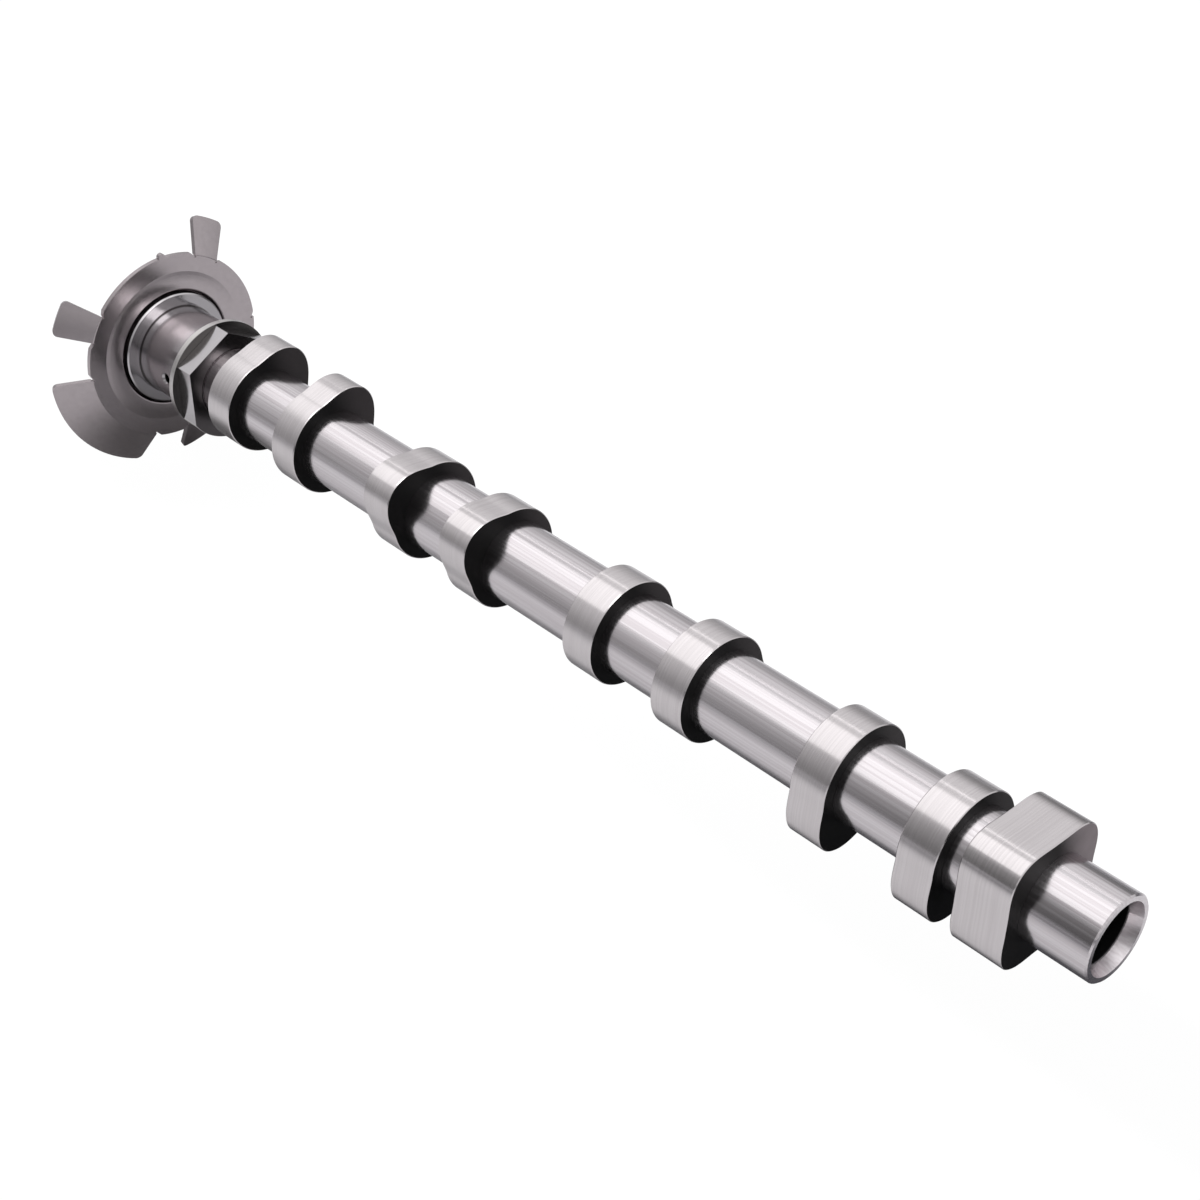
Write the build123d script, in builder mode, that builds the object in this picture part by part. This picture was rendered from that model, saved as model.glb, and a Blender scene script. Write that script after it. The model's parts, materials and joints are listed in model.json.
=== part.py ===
"""Assembled camshaft of an in-line four-cylinder engine.

A hollow steel tube carries eight pressed-on cam lobes in four pairs, a wide pump cam with four rounded
corners, a turned end piece with bearing journal, spanner flats and thrust collar, and a stamped sensor
wheel.

Frame: +X runs along the shaft from the drive face of the end piece to the open end of the tube,
+Z is up as the shaft lies, and the origin is the centre of the drive face. Angles about the shaft are
counted from +Y towards +Z. All lengths are in millimetres and all angles in degrees.
"""

from build123d import *
import os
from math import cos, pi, radians, sin, tan

os.makedirs("parts", exist_ok=True)

# Cuts run past the faces that they leave by this much.
overrun = 1.0

# Nose of the end piece: the timing wheel is centred on its pilot and seats on its face, and the sensor
# wheel is pressed on the slightly larger seat behind the pilot.
pilot_radius = 13.5
pilot_length = 5.0
pilot_chamfer = 0.8
wheel_seat_radius = 14.0
wheel_seat_length = 2.5
bolt_hole_radius = 5.25
bolt_hole_depth = 16.0
bolt_hole_chamfer = 0.8
drill_point_angle = 118.0

# Thrust collar, its shoulder and the bearing journal.
collar_radius = 20.8
collar_thickness = 4.5
collar_chamfer = 0.5
shoulder_radius = 17.1
shoulder_length = 1.2
journal_radius = 16.5
journal_length = 24.0

# Oil hole through the journal wall.
oil_hole_radius = 1.8
oil_hole_mouth_radius = 2.4
oil_hole_distance = 16.3
oil_hole_angle = 177.6

# Round drum with a thin rim left at its back and flats for a spanner milled in front of it.
# The flats lie as on a hexagon, but one side of the drum is left round.
drum_radius = 20.4
rim_thickness = 2.5
drum_chamfer = 0.3
width_across_flats = 34.6
flat_length = 7.6
flat_angles = (0, 60, 120, 180, 300)

# Socket of the end piece that holds the tube, and the oil chamber behind it.
socket_depth = 13.3
socket_mouth_chamfer = 0.5
chamber_radius = 9.0
chamber_length = 11.0

# Tube, with rolled seats under the cams and a centre cone in its open end, which stands out of the
# pump cam.
tube_radius = 13.0
tube_bore_radius = 10.0
open_end_length = 20.8
tube_end_chamfer = 0.5
centre_cone_radius = 11.0
centre_cone_depth = 3.8
seat_height = 0.25

# Cam lobes: two to a cylinder, with their noses a quarter turn apart from cylinder to cylinder.
cylinder_pitch = 91.0
first_lobe_front = 68.3
lobe_pitch = 37.2
lobe_width = 12.2
base_circle_radius = 17.12
lobe_lift = 5.13
lobe_half_angle = 51.2
lobe_bluntness_share = 0.895
first_nose_angle = 50.5
quarter_turns = (0, 1, -1, 2)
lobes_per_cylinder = 2
cam_edge_chamfer = 0.3
points_per_flank = 5

# Pump cam with four corners, a little in front of the last lobe.
pump_cam_gap = 7.9
pump_cam_width = 16.5
pump_cam_base_radius = 18.13
pump_cam_lift = 3.81
pump_cam_corner_angle = 43.0
pump_cam_corners = 4
pump_cam_bluntness_share = 1.21
points_per_corner = 10

# Sensor wheel: a dished sheet, crowned between its dish and the crease where its flat rim starts, with
# vanes that are bent back.
sheet_thickness = 1.8
dish_radius = 21.1
dish_slope_angle = 15.0
dish_bend_radius = 0.5
crown_bend_radius = 22.0
crown_slope_angle = 12.0
crown_slope_run = 3.5
crease_radius = 28.5
rim_rise = 2.5
disc_radius = 35.1
vane_bend_start_radius = 34.4
vane_bend_angle = 28.5
vane_bend_radius = 2.2
vane_tip_radius = 47.3
vane_corner_radius = 2.0

# First and last angle of each vane.
vanes = ((50.3, 66.9), (141.6, 158.1), (182.0, 249.3), (272.2, 339.5))
notch_radius = 0.4
notch_depth = 1.5
notch_opening_angle = 3.6
rim_notch_angle = 358.8
lug_angle = 90.2
lug_radius = 1.3
lug_reach = 1.6

# Places along the shaft that follow from the sizes.
collar_back = pilot_length + wheel_seat_length
collar_front = collar_back + collar_thickness
journal_start = collar_front + shoulder_length
rim_back = journal_start + journal_length
rim_front = rim_back + rim_thickness
drum_front = rim_front + flat_length
tube_start = drum_front - socket_depth
chamber_start = tube_start - chamber_length
rim_disc_front = collar_back + rim_rise
crown_front = rim_disc_front + crown_slope_run * tan(radians(crown_slope_angle))


def shaft_plane(place, angle=0.0):
    """Plane across the shaft at a place on it, with its own x axis turned to the angle."""
    turn = radians(angle)
    return Plane(origin=(place, 0, 0), x_dir=(0, cos(turn), sin(turn)), z_dir=(1, 0, 0))


def half_plane(angle=0.0):
    """Plane through the shaft's axis: its x axis is the shaft's, its y axis points out at the angle."""
    turn = radians(angle)
    return Plane(origin=(0, 0, 0), x_dir=(1, 0, 0), z_dir=(0, -sin(turn), cos(turn)))


def on_circle(radius, angle):
    """Point of a circle round the shaft, in a plane across it."""
    return (radius * cos(radians(angle)), radius * sin(radians(angle)))


def distance_from_axis(point):
    """Distance of a point from the shaft's axis."""
    return Vector(0, point.Y, point.Z).length


def lobe_radius(angle):
    """Radius of a cam lobe at an angle from its nose."""
    rise = (1 + cos(pi * angle / lobe_half_angle)) / 2
    return base_circle_radius + lobe_lift * rise**lobe_bluntness_share


def pump_cam_radius(angle):
    """Radius of the pump cam at an angle from one of its corners."""
    rise = (1 + cos(pump_cam_corners * radians(angle))) / 2
    return pump_cam_base_radius + pump_cam_lift * rise**pump_cam_bluntness_share


# Every cam lobe: its name, its rear face and the angle of its nose.
lobes = [
    (
        f"cam_lobe_{lobes_per_cylinder * cylinder + side + 1}",
        first_lobe_front - lobe_width + cylinder_pitch * cylinder + lobe_pitch * side,
        first_nose_angle + 90 * turns,
    )
    for cylinder, turns in enumerate(quarter_turns)
    for side in range(lobes_per_cylinder)
]
last_lobe_rear = max(rear for name, rear, nose_angle in lobes)
pump_cam_rear = last_lobe_rear + lobe_width + pump_cam_gap
tube_end = pump_cam_rear + pump_cam_width + open_end_length
seat_radius = tube_radius + seat_height


# End piece: one turned bar, hollow from the drum's side, with a blind threaded hole in its nose.
with BuildPart() as end_piece:
    with BuildSketch(half_plane()):
        with BuildLine():
            Polyline(
                (0, 0),
                (0, pilot_radius - pilot_chamfer),
                (pilot_chamfer, pilot_radius),
                (pilot_length, pilot_radius),
                (pilot_length, wheel_seat_radius),
                (collar_back, wheel_seat_radius),
                (collar_back, collar_radius - collar_chamfer),
                (collar_back + collar_chamfer, collar_radius),
                (collar_front - collar_chamfer, collar_radius),
                (collar_front, collar_radius - collar_chamfer),
                (collar_front, shoulder_radius),
                (journal_start, shoulder_radius),
                (journal_start, journal_radius),
                (rim_back, journal_radius),
                (rim_back, drum_radius - drum_chamfer),
                (rim_back + drum_chamfer, drum_radius),
                (drum_front - drum_chamfer, drum_radius),
                (drum_front, drum_radius - drum_chamfer),
                (drum_front, 0),
                close=True,
            )
        make_face()
    revolve(axis=Axis.X)
    with BuildSketch(shaft_plane(rim_front)):
        for angle in flat_angles:
            with PolarLocations(width_across_flats / 2, 1, start_angle=angle):
                Rectangle(drum_radius, 2 * drum_radius, align=(Align.MIN, Align.CENTER))
    extrude(amount=flat_length + overrun, mode=Mode.SUBTRACT)
    with BuildSketch(half_plane()):
        with BuildLine():
            Polyline(
                (chamber_start, 0),
                (chamber_start, chamber_radius),
                (tube_start, chamber_radius),
                (tube_start, tube_radius),
                (drum_front - socket_mouth_chamfer, tube_radius),
                (drum_front, tube_radius + socket_mouth_chamfer),
                (drum_front + overrun, tube_radius + socket_mouth_chamfer),
                (drum_front + overrun, 0),
                close=True,
            )
        make_face()
        with BuildLine():
            Polyline(
                (-overrun, 0),
                (-overrun, bolt_hole_radius + bolt_hole_chamfer),
                (0, bolt_hole_radius + bolt_hole_chamfer),
                (bolt_hole_chamfer, bolt_hole_radius),
                (bolt_hole_depth, bolt_hole_radius),
                (bolt_hole_depth + bolt_hole_radius / tan(radians(drill_point_angle / 2)), 0),
                close=True,
            )
        make_face()
    revolve(axis=Axis.X, mode=Mode.SUBTRACT)
    hole_up = Vector(0, cos(radians(oil_hole_angle)), sin(radians(oil_hole_angle)))
    hole_mouth = Vector(journal_start + oil_hole_distance, 0, 0) + hole_up * journal_radius
    with Locations(Plane(origin=hole_mouth, x_dir=(1, 0, 0), z_dir=hole_up)):
        CounterSinkHole(oil_hole_radius, oil_hole_mouth_radius, depth=journal_radius)
end_piece.part.label = "end_piece"
export_step(end_piece.part, "parts/end_piece.step")


# Tube: pushed into the socket of the end piece, with a raised seat under each cam.
with BuildPart() as shaft_tube:
    with BuildSketch(half_plane()):
        with BuildLine():
            Polyline(
                (tube_start, tube_bore_radius),
                (tube_start, tube_radius),
                (tube_end - tube_end_chamfer, tube_radius),
                (tube_end, tube_radius - tube_end_chamfer),
                (tube_end, centre_cone_radius),
                (tube_end - centre_cone_depth, tube_bore_radius),
                close=True,
            )
        make_face()
    revolve(axis=Axis.X)
    seats = [(rear, lobe_width) for name, rear, nose_angle in lobes] + [(pump_cam_rear, pump_cam_width)]
    for rear, width in seats:
        with BuildSketch(shaft_plane(rear)):
            Circle(seat_radius)
            Circle((tube_radius + tube_bore_radius) / 2, mode=Mode.SUBTRACT)
        extrude(amount=width)
shaft_tube.part.label = "shaft_tube"
export_step(shaft_tube.part, "parts/shaft_tube.step")


# Cam lobes: rings with a base circle and one nose, all alike but for their place and turn.
for name, rear, nose_angle in lobes:
    with BuildPart() as cam_lobe:
        with BuildSketch(shaft_plane(rear, nose_angle)):
            with BuildLine():
                nose_angles = [
                    lobe_half_angle * step / points_per_flank
                    for step in range(-points_per_flank, points_per_flank + 1)
                ]
                Spline(
                    [on_circle(lobe_radius(angle), angle) for angle in nose_angles],
                    tangents=[on_circle(1, angle + 90) for angle in (-lobe_half_angle, lobe_half_angle)],
                )
                ThreePointArc(
                    on_circle(base_circle_radius, lobe_half_angle),
                    (-base_circle_radius, 0),
                    on_circle(base_circle_radius, -lobe_half_angle),
                )
            make_face()
        extrude(amount=lobe_width)
        chamfer(cam_lobe.faces().filter_by(Axis.X).edges(), cam_edge_chamfer)
        with BuildSketch(shaft_plane(rear)):
            Circle(seat_radius)
        extrude(amount=lobe_width, mode=Mode.SUBTRACT)
    cam_lobe.part.label = name
    export_step(cam_lobe.part, f"parts/{name}.step")


# Pump cam: a wider ring whose outline rises and falls once for each corner.
with BuildPart() as pump_cam:
    with BuildSketch(shaft_plane(pump_cam_rear, pump_cam_corner_angle)):
        with BuildLine():
            point_count = pump_cam_corners * points_per_corner
            cam_angles = [360 * step / point_count for step in range(point_count)]
            Spline([on_circle(pump_cam_radius(angle), angle) for angle in cam_angles], periodic=True)
        make_face()
    extrude(amount=pump_cam_width)
    chamfer(pump_cam.faces().filter_by(Axis.X).edges(), cam_edge_chamfer)
    with BuildSketch(shaft_plane(pump_cam_rear)):
        Circle(seat_radius)
    extrude(amount=pump_cam_width, mode=Mode.SUBTRACT)
pump_cam.part.label = "pump_cam"
export_step(pump_cam.part, "parts/pump_cam.step")


# Sensor wheel: the dished centre is turned from a bent sheet line, and the flat rim is cut from its outline.
dish_run = (crown_front - collar_back) * tan(radians(dish_slope_angle))
vane_run = vane_tip_radius - vane_bend_start_radius
vane_tip_place = rim_disc_front - vane_run * tan(radians(vane_bend_angle))

# Every relief notch: the angle of its straight side, and the turn from there to its slanted side's end.
notches = [(rim_notch_angle, notch_opening_angle)]
for first, last in vanes:
    notches += [(first, -notch_opening_angle), (last, notch_opening_angle)]

with BuildPart() as trigger_wheel:
    with BuildSketch(half_plane()):
        with BuildLine():
            sheet_line = FilletPolyline(
                (collar_back, wheel_seat_radius),
                (collar_back, dish_radius),
                (crown_front, dish_radius + dish_run),
                (crown_front, crease_radius - crown_slope_run),
                (rim_disc_front, crease_radius),
                (rim_disc_front, vane_bend_start_radius),
                radius=(dish_bend_radius, dish_bend_radius, crown_bend_radius, dish_bend_radius),
            )
            offset(sheet_line, amount=sheet_thickness, side=Side.LEFT)
        make_face()
    revolve(axis=Axis.X)
    with BuildSketch(shaft_plane(rim_disc_front - sheet_thickness)):
        Circle(disc_radius)
        with Locations(on_circle(disc_radius + lug_reach - lug_radius, lug_angle)):
            Circle(lug_radius)
        Circle(vane_bend_start_radius, mode=Mode.SUBTRACT)
        for first, last in vanes:
            with BuildLine():
                Line((0, 0), on_circle(vane_tip_radius, first))
                vane_arc = ThreePointArc(
                    on_circle(vane_tip_radius, first),
                    on_circle(vane_tip_radius, (first + last) / 2),
                    on_circle(vane_tip_radius, last),
                )
                Line(vane_arc @ 1, (0, 0))
            make_face(mode=Mode.SUBTRACT)
    extrude(amount=sheet_thickness)
    for first, last in vanes:
        with BuildSketch(half_plane(first)):
            with BuildLine():
                vane_line = FilletPolyline(
                    (rim_disc_front, vane_bend_start_radius - sheet_thickness),
                    (rim_disc_front, vane_bend_start_radius),
                    (vane_tip_place, vane_tip_radius),
                    radius=vane_bend_radius,
                )
                offset(vane_line, amount=sheet_thickness, side=Side.LEFT)
            make_face()
        revolve(axis=Axis.X, revolution_arc=last - first)
    tip_zone = vane_tip_radius - sheet_thickness
    straight_edges = trigger_wheel.edges().filter_by(GeomType.LINE)
    fillet(
        straight_edges.filter_by(lambda edge: distance_from_axis(edge.center()) > tip_zone),
        vane_corner_radius,
    )
    with BuildSketch(shaft_plane(rim_disc_front + overrun)):
        for angle, opening in notches:
            root = on_circle(disc_radius - notch_depth + notch_radius, angle)
            with BuildLine():
                Polyline(
                    root,
                    on_circle(disc_radius + lug_reach, angle),
                    on_circle(disc_radius + lug_reach, angle + opening),
                    on_circle(disc_radius, angle + opening),
                    close=True,
                )
            make_face()
            with Locations(root):
                Circle(notch_radius)
    extrude(amount=-(sheet_thickness + 2 * overrun), mode=Mode.SUBTRACT)
trigger_wheel.part.label = "trigger_wheel"
export_step(trigger_wheel.part, "parts/trigger_wheel.step")
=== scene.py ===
# %% [markdown]
# # Assembled camshaft
# A lesson in dressing a finished machine part in Blender. A camshaft opens the valves of an engine, and
# this one is built up from a tube with cams pressed on it. Its shapes could be modelled here, but they
# come from the construction model, where every size is exact. What is left to do is what a photographer
# and a finisher would do: set the camera, light a small studio, and give each ground, turned or stamped
# surface the finish that the real one has.

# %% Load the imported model
import json
from math import cos, pi, radians, sin, tau

import bpy
from mathutils import Matrix, Vector


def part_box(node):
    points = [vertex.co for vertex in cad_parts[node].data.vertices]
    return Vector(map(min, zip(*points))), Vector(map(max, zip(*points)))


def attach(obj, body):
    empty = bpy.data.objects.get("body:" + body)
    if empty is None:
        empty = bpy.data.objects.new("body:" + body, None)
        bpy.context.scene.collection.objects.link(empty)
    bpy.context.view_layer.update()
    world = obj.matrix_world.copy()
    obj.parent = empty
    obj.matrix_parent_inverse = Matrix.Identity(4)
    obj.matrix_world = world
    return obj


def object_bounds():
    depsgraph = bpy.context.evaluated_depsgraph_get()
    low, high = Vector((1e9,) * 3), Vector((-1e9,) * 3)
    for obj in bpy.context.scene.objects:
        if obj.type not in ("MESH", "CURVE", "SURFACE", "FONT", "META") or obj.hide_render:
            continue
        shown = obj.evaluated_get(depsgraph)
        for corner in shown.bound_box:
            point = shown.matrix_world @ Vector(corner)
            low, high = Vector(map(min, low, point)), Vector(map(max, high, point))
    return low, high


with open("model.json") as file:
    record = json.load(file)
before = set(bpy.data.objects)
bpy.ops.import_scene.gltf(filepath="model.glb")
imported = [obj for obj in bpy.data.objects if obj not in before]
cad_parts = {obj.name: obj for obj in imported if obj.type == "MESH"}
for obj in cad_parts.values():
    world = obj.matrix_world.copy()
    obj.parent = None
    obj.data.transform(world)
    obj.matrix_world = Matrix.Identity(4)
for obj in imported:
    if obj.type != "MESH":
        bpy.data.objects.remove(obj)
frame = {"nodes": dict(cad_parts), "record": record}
nodes = frame["nodes"]
mounts = {mount["name"]: mount for mount in frame["record"]["mounts"]}
box_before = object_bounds()
print("pieces from the construction model:", len(nodes), "and mounts:", len(mounts))
print("box:", [tuple(round(c, 4) for c in corner) for corner in box_before])

# %% [markdown]
# ## The camera
# The photograph looks down on the shaft from its open end. The shaft runs along X, so the camera stands
# in front of the open end, to one side and above, and looks at the middle of the shaft. It could be
# aimed by eye, but its place and its lens were worked out from the ellipses that the round faces make in
# the photograph, which leaves nothing to guess. A camera looks along its own minus Z, so its rotation is
# a matrix of three directions: right, up and backwards.

# %% Camera
turn = radians(46.787)
tilt = radians(35.873)
camera_place = (0.60578, -0.34703, 0.37155)
focal_pixels, photo_pixels = 2092.25, 1200
film_width = 36
forward = Vector((-sin(turn) * cos(tilt), cos(turn) * cos(tilt), -sin(tilt)))
right = Vector((cos(turn), sin(turn), 0))
up = right.cross(forward)

camera_data = bpy.data.cameras.new("camera")
camera_data.sensor_width = film_width
camera_data.lens = film_width * focal_pixels / photo_pixels
camera = bpy.data.objects.new("camera", camera_data)
bpy.context.scene.collection.objects.link(camera)
facing = Matrix((right, up, -forward)).transposed().to_4x4()
camera.matrix_world = Matrix.Translation(camera_place) @ facing
bpy.context.scene.camera = camera
bpy.context.scene.view_settings.view_transform = "Standard"
print("lens in mm:", round(camera_data.lens, 2))

# %% [markdown]
# ## Sums on sockets
# A finish is a set of sums on the place of a point: how far it is from the shaft's axis, how far along
# the shaft, and how rough it is there. Such sums could be placed as nodes by hand, but then they are hard
# to read, so one small class wraps a socket and lets Python's own signs add the Math nodes. Every other
# node comes from one method that takes its type, its settings and the values of its sockets.

# %% A wire that Python can calculate with
def plug(socket, value):
    """Links a wire to a socket, or sets the socket's own value."""
    if isinstance(value, Wire):
        socket.id_data.links.new(value.socket, socket)
    else:
        socket.default_value = value


def maths(operation, *values):
    """One Math node on wires and numbers."""
    tree = next(value.socket.id_data for value in values if isinstance(value, Wire))
    node = tree.nodes.new("ShaderNodeMath")
    node.operation = operation
    for place, value in enumerate(values):
        plug(node.inputs[place], value)
    return Wire(node.outputs[0])


class Wire:
    """An output socket. Of two masks, one | other is the larger at each point."""

    def __init__(self, socket):
        self.socket = socket

    def __add__(self, other):
        return maths("ADD", self, other)

    def __sub__(self, other):
        return maths("SUBTRACT", self, other)

    def __rsub__(self, other):
        return maths("SUBTRACT", other, self)

    def __mul__(self, other):
        return maths("MULTIPLY", self, other)

    def __or__(self, other):
        return maths("MAXIMUM", self, other)

    def __abs__(self):
        return maths("ABSOLUTE", self)

    __radd__ = __add__
    __rmul__ = __mul__


print("a wire knows + - * | and abs")

# %% A node tree that is built by calls
class Nodes:
    """A node tree in which every node that isn't a sum comes from add."""

    def __init__(self, tree):
        self.tree = tree
        tree.nodes.clear()

    def add(self, kind, settings=None, values=None, output=0):
        """One node, and the wire from one of its outputs."""
        node = self.tree.nodes.new(kind)
        for name, value in (settings or {}).items():
            setattr(node, name, value)
        for name, value in (values or {}).items():
            plug(node.inputs[name], value)
        return Wire(node.outputs[output]) if node.outputs else node

    def parts(self, vector):
        """The three parts of a vector."""
        split = self.add("ShaderNodeSeparateXYZ", values={"Vector": vector})
        return [Wire(socket) for socket in split.socket.node.outputs]

    def rise(self, value, low, high):
        """Nought below low, one above high, and a soft rise between."""
        return self.add(
            "ShaderNodeMapRange",
            {"interpolation_type": "SMOOTHSTEP"},
            {"Value": value, "From Min": low, "From Max": high, "To Min": 0.0, "To Max": 1.0},
        )

    def blend(self, share, first, second):
        """Colour between two colours."""
        return self.add(
            "ShaderNodeMix",
            {"data_type": "RGBA"},
            {"Factor": share, "A": first, "B": second},
            output="Result",
        )


print("a node tree knows add, parts, rise and blend")

# %% [markdown]
# ## The floor
# Bare metal has hardly any colour of its own: it shows the room. The bands on the tube tell what the room
# of the photograph was like, because each angle round the tube mirrors one direction. A picture of a room
# could be wrapped round the scene, but then nothing in it could be named or changed, so the room is
# built. Its floor is a large plane of pale paper. The eye sees it white, with a faint shade under the
# part, from its real shadow and a little of the painted one. What the metal mirrors of it is painted
# darker: a painted shadow close to the shaft and under the wheel, and painted shade in the distance, most
# so towards the open end.

# %% Shape of the floor
floor_size = 14
floor_height = box_before[0][2]
bpy.ops.object.select_all(action="DESELECT")
bpy.ops.mesh.primitive_plane_add(size=floor_size, location=(0, 0, floor_height))
floor = bpy.context.object
floor.name = "floor"
print("floor at", round(floor_height, 4))

# %% Paper of the floor
plain_paper = (0.75, 0.75, 0.76, 1)
# painted shadow beside the shaft, deeper towards the open end, seen only in what the metal mirrors
shaft_shadow_by_wheel, shaft_shadow_by_open_end = (0.46, 0.46, 0.47, 1), (0.1, 0.1, 0.11, 1)
# painted shade on the paper in the distance, deeper towards the open end
far_shade_by_wheel, far_shade_by_open_end = (0.45, 0.45, 0.46, 1), (0.15, 0.15, 0.16, 1)
# painted shadow under the wheel
wheel_shadow = (0.25, 0.25, 0.25, 1)
shadow_middle, shadow_edge = 0.012, (0.015, 0.045)
far_shade_edge, wheel_shadow_edge = (0.09, 0.38), (0.025, 0.07)
shadow_deepens, far_shade_deepens = (0.1, 0.42), (0.0, 0.4)
eye_share, eye_level = 0.9, 1.09

paint = bpy.data.materials.new("pale_floor")
paint.use_nodes = True
floor_nodes = Nodes(paint.node_tree)
along, across, _ = floor_nodes.parts(floor_nodes.add("ShaderNodeTexCoord", output="Object"))
wheel_middle = 0.5 * (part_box("trigger_wheel")[0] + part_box("trigger_wheel")[1])
from_wheel = along - wheel_middle.x
off_wheel = maths("SQRT", from_wheel * from_wheel + across * across)
# painted shadow beside the shaft
shaft_shadow_tone = floor_nodes.blend(floor_nodes.rise(along, *shadow_deepens), shaft_shadow_by_wheel, shaft_shadow_by_open_end)
# painted shade in the distance
far_shade_tone = floor_nodes.blend(floor_nodes.rise(along, *far_shade_deepens), far_shade_by_wheel, far_shade_by_open_end)
sides = floor_nodes.blend(floor_nodes.rise(abs(across), *far_shade_edge), plain_paper, far_shade_tone)
# the painted shadow is laid along the shaft, over the paper with its painted shade in the distance
paper = floor_nodes.blend(floor_nodes.rise(abs(across - shadow_middle), *shadow_edge), shaft_shadow_tone, sides)
# painted shadow under the wheel, round its middle
paper = floor_nodes.blend(floor_nodes.rise(off_wheel, *wheel_shadow_edge), wheel_shadow, paper)
matt = floor_nodes.add("ShaderNodeBsdfDiffuse", values={"Color": paper})
white = floor_nodes.add("ShaderNodeEmission", values={"Color": (1, 1, 1, 1), "Strength": eye_level})
seen = floor_nodes.add("ShaderNodeLightPath", output="Is Camera Ray")
both = floor_nodes.add("ShaderNodeMixShader", values={0: seen * eye_share, 1: matt, 2: white})
floor_nodes.add("ShaderNodeOutputMaterial", values={"Surface": both})
floor.data.materials.append(paint)
print("paper of the floor:", len(paint.node_tree.nodes), "nodes")

# %% [markdown]
# ## The world
# The walls and the ceiling of the room are the world, which has no size and no place, only directions.
# A single grey would do for a matt part, but metal shows that the real room wasn't even: it is dimmer at
# the height of the table, more so on the photographer's side, and dimmest straight across the shaft. So
# its level is a sum on the direction: it rises from the horizon upwards, and falls where the dark band
# of the tube looks. The camera itself sees plain white behind the part.

# %% World
low_level, high_level = 0.37, 0.68
low_gain_beyond, high_gain_beyond = 0.15, 0.2
gain_past_open_end, loss_across = 0.25, 0.85
plain_white = (0.99, 0.985, 1, 1)

world = bpy.data.worlds.new("studio")
bpy.context.scene.world = world
world.use_nodes = True
world_nodes = Nodes(world.node_tree)
east, north, height = world_nodes.parts(world_nodes.add("ShaderNodeTexCoord", output="Generated"))
beyond = world_nodes.rise(north, -0.8, 0.8)
past_open_end = world_nodes.rise(east, 0.0, 0.6) * world_nodes.rise(north, -0.7, -0.2)
horizon = low_level + low_gain_beyond * beyond + gain_past_open_end * past_open_end
overhead = high_level + high_gain_beyond * beyond
upwards = world_nodes.rise(height, 0.05, 0.62)
straight_across = 1 - world_nodes.rise(abs(east + 0.1), 0.15, 0.5)
low_down = 1 - world_nodes.rise(height + 0.25 * north, 0.3, 0.75)
room = (horizon + (overhead - horizon) * upwards) * (1 - loss_across * straight_across * low_down)
seen = world_nodes.add("ShaderNodeLightPath", output="Is Camera Ray")
level = room * (1 - seen) + seen
light = world_nodes.add("ShaderNodeBackground", values={"Color": plain_white, "Strength": level})
world_nodes.add("ShaderNodeOutputWorld", values={"Surface": light})
print("world:", len(world.node_tree.nodes), "nodes")

# %% [markdown]
# ## The lamps
# The bright lines along the tube are the soft boxes of the real studio. A wide one hangs over the shaft,
# a narrow one behind it, and a third leans over from past the open end, for the end faces. Points of
# light would make sparks and hard shadows, so each is an area lamp, which metal mirrors as a rectangle.
# How bright that rectangle looks is its radiance, and a lamp's power is four times its area times that.

# %% Lamps
def soft_lamp(name, length, width, place, radiance, lean=0.0):
    """Rectangular lamp over the shaft, as bright as its radiance says whatever its size."""
    data = bpy.data.lights.new(name, "AREA")
    data.shape = "RECTANGLE"
    data.size = length
    data.size_y = width
    data.energy = 4 * length * width * radiance
    lamp = bpy.data.objects.new(name, data)
    bpy.context.scene.collection.objects.link(lamp)
    lamp.location = place
    lamp.rotation_euler.y = lean
    print(name, length, "by", width, "m")


lamp_height = 1.5
soft_lamp("wide_lamp", 4.0, 1.6, (0.4, -0.33, lamp_height), radiance=0.5)
soft_lamp("narrow_lamp", 4.0, 0.1, (0.4, 0.95, lamp_height), radiance=0.9)
soft_lamp("end_lamp", 0.5, 0.9, (1.75, -0.05, lamp_height), radiance=2.6, lean=radians(49))

# %% [markdown]
# ## The places that every finish asks for
# Each finish starts from the same few facts about a point: its place along the shaft, its distance from
# the axis, and noise. Noise that is stretched round the shaft looks like the marks of grinding and
# turning, and noise that is stretched along it looks like the marks of polishing. Each surface of a piece
# could have a material of its own, but the meshes of the construction model aren't to be changed, so one
# material serves a whole piece, and a mask finds each surface by its place.

# %% Where a point is
mm = 1000


def ends(name):
    """Lowest and highest place of a piece along the shaft, in millimetres."""
    low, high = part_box(name)
    return low.x * mm, high.x * mm


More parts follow.
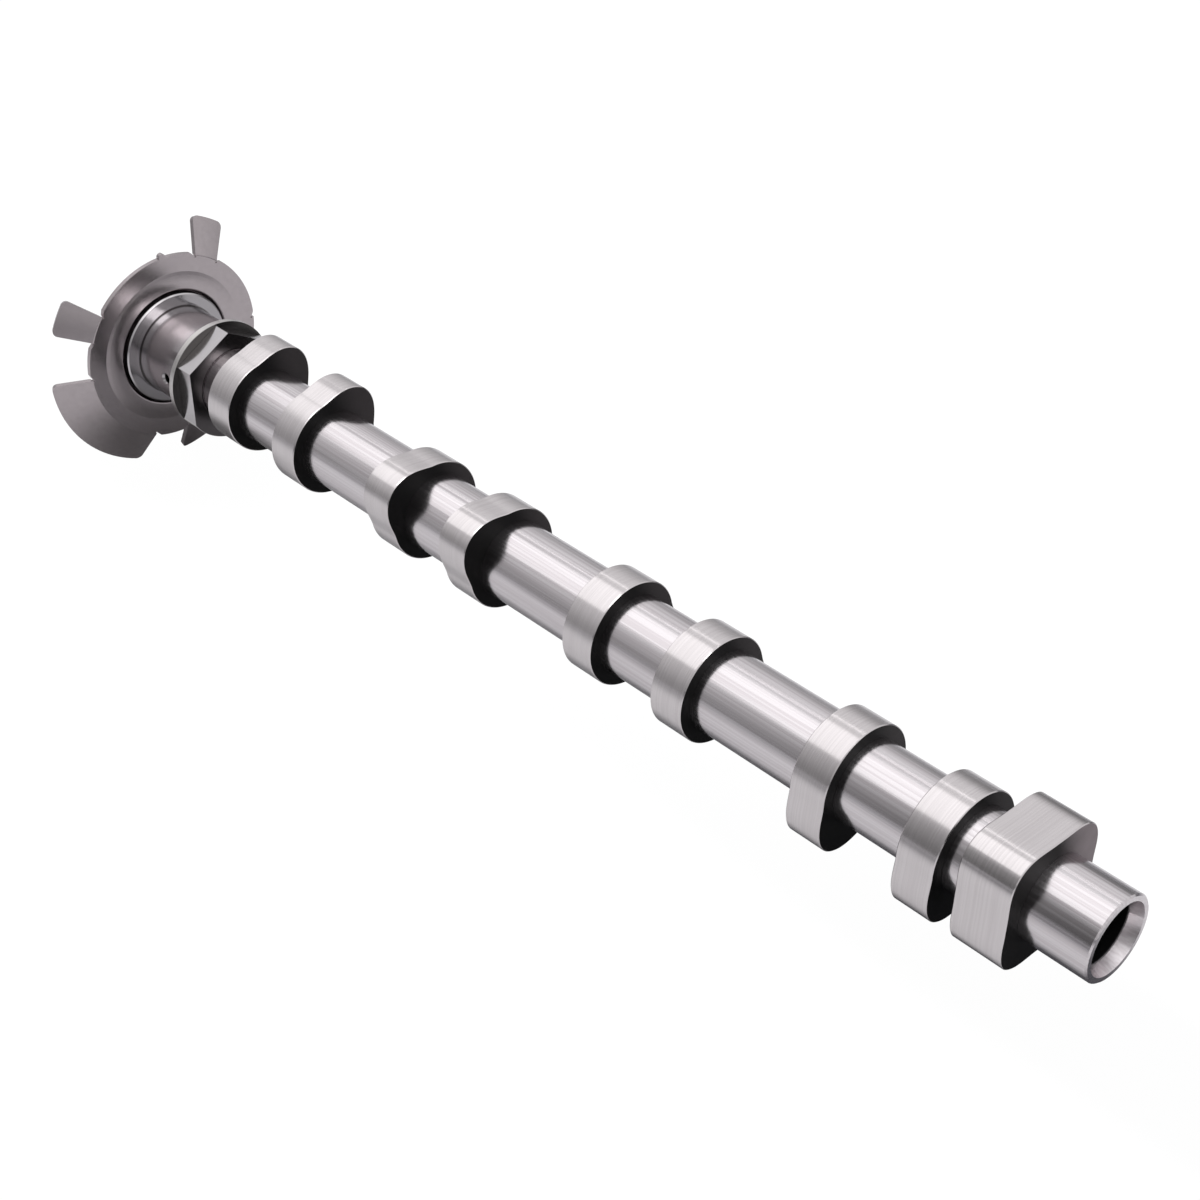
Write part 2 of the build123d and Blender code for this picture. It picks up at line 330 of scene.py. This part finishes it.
class Finish(Nodes):
    """A metal finish on a part whose axis is X, with all places in millimetres."""

    def __init__(self, name):
        self.material = bpy.data.materials.new(name)
        self.material.use_nodes = True
        super().__init__(self.material.node_tree)
        place = self.add("ShaderNodeTexCoord", output="Object")
        self.x, self.y, self.z = (part * mm for part in self.parts(place))
        self.radius = maths("SQRT", self.y * self.y + self.z * self.z)

    def noise(self, along, across, detail=2.0):
        """Noise with so many waves in a millimetre along the shaft and across it."""
        where = self.add(
            "ShaderNodeCombineXYZ",
            values={"X": self.x * along, "Y": self.y * across, "Z": self.z * across},
        )
        return self.add("ShaderNodeTexNoise", values={"Vector": where, "Scale": 1.0, "Detail": detail})

    def after(self, place, edge=0.1):
        """One past a place along the shaft, and nought before it."""
        return self.rise(self.x, place, place + edge)

    def within(self, radius, edge=0.1):
        """One nearer to the axis than a radius, and nought further out."""
        return 1 - self.rise(self.radius, radius, radius + edge)

    def at_place(self, place, reach=0.06):
        """One on a flat face that lies at a place along the shaft, and nought beside it."""
        return 1 - self.rise(abs(self.x - place), reach, 1.5 * reach)

    def metal(self, values, marks, depth):
        """Metal surface, with the height of its marks in shares of a depth in millimetres."""
        bump = {"Height": marks, "Distance": depth / mm, "Strength": 1.0}
        values["Normal"] = self.add("ShaderNodeBump", values=bump)
        surface = self.add("ShaderNodeBsdfPrincipled", values=values)
        self.add("ShaderNodeOutputMaterial", values={"Surface": surface})
        return self.material


print("the tube runs from", round(ends("shaft_tube")[0], 1), "to", round(ends("shaft_tube")[1], 1), "mm")

# %% [markdown]
# ## Dark sides of the cams
# A cam is hardened before it is ground, which leaves its sides almost black and matt. A black metal would
# still mirror the lamps, so the sides aren't metal but a matt coat with hardly any gloss. On them a
# painted
# sheen stands in for what they reflect: paler where they turn to the light, in soft patches, and
# strongest on the pump cam. The tube's raised seats end flush with the cams, so their ends get the same
# colour and painted sheen, and no pale ring shows there.

# %% Side colour
# the black is the sides' own colour; the pale one is a painted sheen
side_black, painted_sheen_colour = (0.003, 0.003, 0.003, 1), (1.0, 0.86, 0.9, 1)
side_gloss = 0.1


def side_colour(finish, painted_sheen_share):
    """Colour of a cam's side: almost black, with a painted sheen on the part that is turned to the light.
    """
    # painted sheen, paler on the part turned to the light and in soft patches
    lit_upper_part = finish.rise(finish.y + 0.3 * finish.z, 4.0, 17.0)
    patches = finish.noise(0.08, 0.1)
    painted_sheen = painted_sheen_share * (0.02 + 0.98 * lit_upper_part) * (0.7 + 0.6 * patches)
    return finish.blend(painted_sheen, side_black, painted_sheen_colour)


cam_names = sorted(name for name in nodes if "cam" in name)
# share of painted sheen on each cam's side, most on the pump cam, where it is a painted reflection
painted_sheen_shares = {name: 0.03 for name in cam_names}
painted_sheen_shares["pump_cam"] = 0.22
print("cams:", len(cam_names))

# %% [markdown]
# ## Ground tube
# The tube is ground between centres and polished by a tape, so it is the brightest surface, with faint
# lines along it and very fine rings. A picture of scratches could be laid on it, but two stretched
# noises never repeat and stay sharp at any size. Its bore isn't machined: it is dark inside, up to the
# satin centre cone in its mouth, which the grinder's centre ran in.

# %% Places on the tube
tube_end = ends("shaft_tube")[1]
tube_bore_radius = 10.0
cone_radius, cone_depth = 11.0, 3.8
finish = Finish("ground_tube")
before_cone = 1 - finish.after(tube_end - cone_depth - 0.5, 0.6)
dark = finish.within(tube_bore_radius + 0.1, 0.2) * before_cone
cone = (1 - before_cone) * finish.within(cone_radius, 0.15) * (1 - finish.at_place(tube_end))
# painted sheen of the cams' sides, also on the tube where a cam covers it
painted_sheen = 0
for name in cam_names:
    low, high = ends(name)
    covered = maths("LESS_THAN", abs(finish.x - (low + high) / 2), (high - low) / 2 + 0.03)
    dark = dark | covered
    painted_sheen = painted_sheen + painted_sheen_shares[name] * covered
print("centre cone from", round(tube_end - cone_depth, 1), "to", round(tube_end, 1), "mm")

# %% Tube finish
tube_dark, tube_bright = (0.61, 0.57, 0.585, 1), (0.72, 0.685, 0.7, 1)
streaks = finish.rise(finish.noise(0.01, 1.3, 3.0), 0.35, 0.65)
rings = finish.noise(6.0, 0.05)
steel = finish.blend(streaks, tube_dark, tube_bright)
nodes["shaft_tube"].material_slots[0].material = finish.metal(
    {
        "Base Color": finish.blend(dark, steel, side_colour(finish, painted_sheen)),
        "Metallic": 1 - dark,
        "Specular IOR Level": side_gloss,
        "Roughness": 0.15 + 0.03 * streaks + 0.03 * rings + 0.12 * cone + 0.3 * dark,
    },
    marks=streaks * 0.8 + rings * 0.2,
    depth=0.006,
)
print("tube finish:", len(finish.tree.nodes), "nodes")

# %% [markdown]
# ## Ground cams
# A cam is ground on its running surface by a wheel, which leaves fine lines round it and faint broader
# bands where the wheel was dressed. The running surface and the sides could be told apart by the way they
# face, but at the small chamfers that gives a blurred edge. The place along the shaft gives a sharp one,
# so each cam's finish is made for the two places where its own sides lie.

# %% Cam finishes
seat_radius = 13.25
cam_dark, cam_bright = (0.63, 0.595, 0.6, 1), (0.685, 0.65, 0.655, 1)


def cam_finish(name):
    """Ground round its edge and dark on both sides and in its bore."""
    finish = Finish("ground_" + name)
    low, high = ends(name)
    half = (high - low) / 2
    side = finish.rise(abs(finish.x - (low + high) / 2), half - 0.05, half - 0.02)
    side = side | finish.within(seat_radius + 0.05, 0.05)
    lines = finish.noise(5.0, 0.06)
    bands = finish.rise(finish.noise(2.4, 0.02), 0.3, 0.7)
    ground = finish.blend(bands, cam_dark, cam_bright)
    return finish.metal(
        {
            "Base Color": finish.blend(side, ground, side_colour(finish, painted_sheen_shares[name])),
            "Metallic": 1 - side,
            "Specular IOR Level": side_gloss,
            "Roughness": (0.14 + 0.07 * lines) * (1 - side) + 0.5 * side,
        },
        marks=lines * (1 - side),
        depth=0.0018,
    )


for name in cam_names:
    nodes[name].material_slots[0].material = cam_finish(name)
print("cams finished:", len(cam_names))

# %% [markdown]
# ## Turned end piece
# The end piece is turned from one bar, and the tool leaves fine rings on every face and round every
# collar. The journal is ground. The flats are milled smooth. The front face of the drum with the mouth of
# its socket, the hollow of the socket, both faces of its rim and a line at the root of the journal are
# painted dark, as painted shade. The collar's front face is painted darker than the other turned faces,
# standing in for the dark parts that it mirrors. Every one of these surfaces lies at its own place along
# the shaft, so they are found by place, and the journal's ends come from the mount that the construction
# model states.

# %% Places on the end piece
journal_mount = mounts["front_bearing_journal"]
journal_length = journal_mount["dims"]["length_mm"]
journal_start = journal_mount["pos_m"][0] * mm - journal_length / 2
rim_back = journal_start + journal_length
rim_front = rim_back + 2.5
drum_front = ends("end_piece")[1]
collar_face, hollow_start = 12.0, 18.0
shoulder_radius, drum_radius = 17.1, 20.4
socket_radius, socket_chamfer = 13.0, 0.5

finish = Finish("turned_end_piece")
front = finish.after(drum_front - 0.6, 0.05) * finish.within(socket_radius + socket_chamfer + 0.1)
front = front | finish.at_place(drum_front)
hollow = finish.within(socket_radius + 0.05) * finish.after(hollow_start, 0.5)
# painted shade: the drum's front face, the socket's mouth and hollow, and both faces of the rim
dark = front | hollow | finish.at_place(rim_back) | finish.at_place(rim_front)
flats = finish.after(rim_front + 0.1) * (1 - front)
collar_front = finish.at_place(collar_face)
journal = finish.after(collar_face + 0.1) * (1 - finish.after(rim_back - 0.2))
rim = (1 - finish.within(drum_radius - 0.4)) * finish.after(rim_back + 0.1)
# painted shade: a dark line at the root of the journal
root = finish.at_place(journal_start + 0.05, 0.12) * finish.within(shoulder_radius - 0.1, 0.05)
print("rim of the drum from", round(rim_back, 1), "to", round(rim_front, 1), "mm")

# %% End piece finish
turned_dark, turned_bright = (0.53, 0.51, 0.52, 1), (0.61, 0.59, 0.6, 1)
journal_dark, journal_bright = (0.41, 0.39, 0.4, 1), (0.51, 0.49, 0.5, 1)
# the collar's front face is painted darker than the other turned faces, for the dark parts it mirrors
collar_shaded_grey, rim_bright = (0.4, 0.385, 0.395, 1), (0.66, 0.64, 0.63, 1)
# tones of the painted shade
hollow_and_rim_shade, front_and_root_shade = (0.06, 0.057, 0.055, 1), (0.15, 0.14, 0.142, 1)
rings = finish.noise(5.0, 0.04)
outwards = finish.add("ShaderNodeCombineXYZ", values={"X": finish.radius * 5})
face_rings = finish.add("ShaderNodeTexNoise", values={"Vector": outwards, "Scale": 1.0})
# painted darker grey on the collar's front face
turned = finish.blend(collar_front, finish.blend(rings, turned_dark, turned_bright), collar_shaded_grey)
ground = finish.blend(rings, journal_dark, journal_bright)
bare = finish.blend(rim, finish.blend(journal, turned, ground), rim_bright)
# painted shade, darkest in the socket and on the rim's faces
painted_end_shade = finish.blend(front | root, hollow_and_rim_shade, front_and_root_shade)
end_metal = finish.metal(
    {
        "Base Color": finish.blend(dark | root, bare, painted_end_shade),
        "Metallic": 1.0,
        "Roughness": 0.17 + 0.06 * rings - 0.08 * collar_front - 0.04 * flats + 0.07 * dark,
    },
    marks=(rings + face_rings) * (1 - (flats | collar_front)),
    depth=0.004,
)
nodes["end_piece"].material_slots[0].material = end_metal
print("end piece finish:", len(finish.tree.nodes), "nodes")

# %% [markdown]
# ## Stamped sensor wheel
# The wheel is cut and bent from rolled sheet. Its faces are satin and a little mauve, and darker than
# the ground steel round it. Rolled sheet has no rings, so its noise isn't stretched: a coarse one shades
# the sheet in soft patches, and a fine one gives it the grain that makes it satin.

# %% Wheel finish
sheet_dark, sheet_bright = (0.41, 0.37, 0.38, 1), (0.5, 0.455, 0.465, 1)
finish = Finish("stamped_sheet")
patches = finish.noise(0.5, 0.5, 4.0)
grain = finish.noise(4.0, 4.0)
nodes["trigger_wheel"].material_slots[0].material = finish.metal(
    {
        "Base Color": finish.blend(patches, sheet_dark, sheet_bright),
        "Metallic": 1.0,
        "Roughness": 0.21 + 0.08 * grain,
    },
    marks=grain,
    depth=0.004,
)
print("wheel finish:", len(finish.tree.nodes), "nodes")

# %% [markdown]
# ## Thread of the bolt hole
# The hole in the nose of the end piece is tapped for the bolt that clamps the timing wheel. The
# construction model has it plain. A thread could be only a bump in the material, but its ridges are
# large enough to see from the nose. So a circle of three points gives its triangle, and the Screw
# modifier winds that down the hole, one pitch to a turn, as a tap does.

# %% Wind the thread
bolt_hole_radius = mounts["drive_bolt_hole"]["dims"]["r_mm"] / mm
ridge_radius = 0.00062
thread_start = 0.0022
pitch = 0.0015
turns = 8
steps_in_turn = 40
bpy.ops.object.select_all(action="DESELECT")
bpy.ops.mesh.primitive_circle_add(
    vertices=3, radius=ridge_radius, location=(thread_start, bolt_hole_radius, 0), rotation=(0, 0, pi)
)
thread = bpy.context.object
thread.name = "bolt_thread"
bpy.ops.object.transform_apply(location=True, rotation=True, scale=True)
winding = thread.modifiers.new("winding", "SCREW")
winding.axis = "X"
winding.angle = tau
winding.screw_offset = pitch
winding.iterations = turns
winding.steps = steps_in_turn
winding.render_steps = steps_in_turn
bpy.ops.object.modifier_apply(modifier="winding")
print("thread turns:", turns, "faces:", len(thread.data.polygons))

# %% Close and finish the thread
bpy.ops.object.mode_set(mode="EDIT")
bpy.ops.mesh.select_all(action="DESELECT")
bpy.ops.mesh.select_mode(type="EDGE")
bpy.ops.mesh.select_non_manifold()
bpy.ops.mesh.edge_face_add()
bpy.ops.mesh.select_all(action="SELECT")
bpy.ops.mesh.normals_make_consistent(inside=False)
bpy.ops.object.mode_set(mode="OBJECT")
thread.data.materials.append(end_metal)
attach(thread, "root")
print("closed thread faces:", len(thread.data.polygons))
